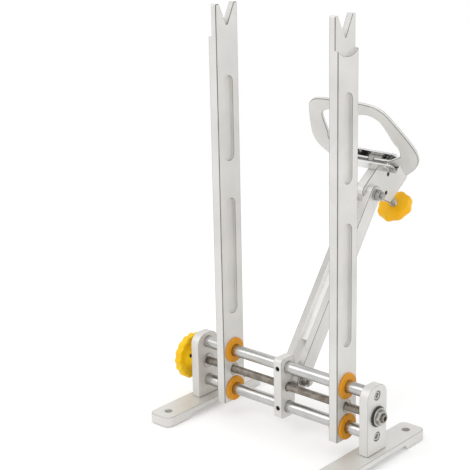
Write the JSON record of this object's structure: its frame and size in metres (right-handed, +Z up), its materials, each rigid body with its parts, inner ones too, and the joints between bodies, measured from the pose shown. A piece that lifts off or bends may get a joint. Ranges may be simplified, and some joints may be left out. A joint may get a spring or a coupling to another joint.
{
  "type": "wheel truing stand",
  "caption": "Tabletop wheel truing stand: two notched uprights on guide rods, moved together by a screw, and a leaning arm with rim calipers.",
  "frame": {"origin": "on the surface that the stand rests on, under the middle of the stand's bounding box", "axes": "+X along the guide rods to the right, away from the hand knob, +Y to the back where the arm leans, +Z up"},
  "size_m": [0.2523, 0.2747, 0.4195],
  "materials": {
    "brushed_aluminium": "satin brushed",
    "ground_steel": "ground and polished",
    "screw_steel": "rolled thread, lightly oiled",
    "dark_steel": "black oxide",
    "zinc_steel": "zinc plated",
    "polished_steel": "polished",
    "nut_bronze": "machined",
    "bush_plastic": "orange, matt",
    "knob_plastic": "yellow, satin",
    "black_plastic": "matt",
    "spring_wire": "black spring wire"
  },
  "bodies": {
    "base": {"left_foot": "brushed_aluminium", "right_foot": "brushed_aluminium", "left_foot_front_screw": "dark_steel", "left_foot_back_screw": "dark_steel", "right_foot_front_screw": "dark_steel", "right_foot_back_screw": "dark_steel", "left_end_plate": "brushed_aluminium", "right_end_plate": "brushed_aluminium", "left_screw_bearing": "zinc_steel", "right_screw_bearing": "zinc_steel", "left_thrust_washer": "black_plastic", "right_thrust_washer": "black_plastic", "lower_guide_rod": "ground_steel", "upper_guide_rod": "ground_steel", "left_lower_rod_screw": "dark_steel", "left_upper_rod_screw": "dark_steel", "right_lower_rod_screw": "dark_steel", "right_upper_rod_screw": "dark_steel", "centre_plate": "brushed_aluminium", "lower_rod_set_screw": "dark_steel", "upper_rod_set_screw": "dark_steel"},
    "width_screw": {"lead_screw": "screw_steel", "hand_knob": "knob_plastic", "hand_knob_set_screw": "dark_steel", "screw_end_nut": "zinc_steel"},
    "left_upright_body": {"left_upright": "brushed_aluminium", "left_lower_inner_bush": "bush_plastic", "left_lower_outer_bush": "bush_plastic", "left_upper_inner_bush": "bush_plastic", "left_upper_outer_bush": "bush_plastic", "left_lead_nut": "nut_bronze"},
    "right_upright_body": {"right_upright": "brushed_aluminium", "right_lower_inner_bush": "bush_plastic", "right_lower_outer_bush": "bush_plastic", "right_upper_inner_bush": "bush_plastic", "right_upper_outer_bush": "bush_plastic", "right_lead_nut": "nut_bronze"},
    "arm_body": {"arm": "brushed_aluminium", "arm_pivot_bolt": "zinc_steel", "arm_pivot_washer": "zinc_steel", "arm_pivot_nut": "zinc_steel", "head_pivot_bolt": "zinc_steel", "head_pivot_washer": "zinc_steel", "head_pivot_nut": "zinc_steel"},
    "head": {"head_plate": "brushed_aluminium", "upper_head_set_screw": "dark_steel", "lower_head_set_screw": "dark_steel", "caliper_bracket": "polished_steel", "bracket_screw": "zinc_steel", "left_caliper_pin": "zinc_steel", "right_caliper_pin": "zinc_steel", "left_caliper_spring": "spring_wire", "right_caliper_spring": "spring_wire"},
    "caliper_knob_body": {"caliper_screw": "screw_steel", "caliper_screw_clip": "zinc_steel", "caliper_knob": "knob_plastic"},
    "pusher": {"caliper_pusher": "zinc_steel"},
    "left_caliper_body": {"left_caliper": "brushed_aluminium"},
    "right_caliper_body": {"right_caliper": "brushed_aluminium"}
  },
  "joints": [
    {"name": "width_screw_turn", "type": "hinge", "parent": "base", "child": "width_screw", "pos_m": [0.004, -0.065, 0.048], "axis": [-1, 0, 0], "range_deg": [-1440.5, 900.5]},
    {"name": "left_upright_slide", "type": "slide", "parent": "base", "child": "left_upright_body", "axis": [-1, 0, 0], "range_m": [-0.032, 0.02]},
    {"name": "right_upright_slide", "type": "slide", "parent": "base", "child": "right_upright_body", "axis": [1, 0, 0], "range_m": [-0.032, 0.02]},
    {"name": "arm_tilt", "type": "hinge", "parent": "base", "child": "arm_body", "pos_m": [0.004, -0.051, 0.052], "axis": [1, 0, 0], "range_deg": [-45, 4]},
    {"name": "head_tilt", "type": "hinge", "parent": "arm_body", "child": "head", "pos_m": [0.004, 0.06775, 0.21726], "axis": [1, 0, 0], "range_deg": [-40, 45]},
    {"name": "caliper_knob_turn", "type": "hinge", "parent": "head", "child": "caliper_knob_body", "pos_m": [0.004, 0.08973, 0.23294], "axis": [0, 0.5807, -0.8141], "range_deg": [0, 1333]},
    {"name": "pusher_slide", "type": "slide", "parent": "head", "child": "pusher", "axis": [0, -0.5807, 0.8141], "range_m": [0, 0.0037]},
    {"name": "left_caliper_swing", "type": "hinge", "parent": "head", "child": "left_caliper_body", "pos_m": [-0.017, 0.07794, 0.24946], "axis": [0, -0.8141, -0.5807], "range_deg": [0, 16.02]},
    {"name": "right_caliper_swing", "type": "hinge", "parent": "head", "child": "right_caliper_body", "pos_m": [0.025, 0.07794, 0.24946], "axis": [0, 0.8141, 0.5807], "range_deg": [0, 16.02]}
  ],
  "couplings": [
    {"joint": "width_screw_turn", "follows": "left_upright_slide", "rad_per_m": 785.4},
    {"joint": "right_upright_slide", "follows": "left_upright_slide", "ratio": 1},
    {"joint": "caliper_knob_turn", "follows": "pusher_slide", "rad_per_m": 6283.2},
    {"joint": "left_caliper_swing", "follows": "pusher_slide", "rad_per_m": 75.474},
    {"joint": "right_caliper_swing", "follows": "pusher_slide", "rad_per_m": 75.474}
  ]
}
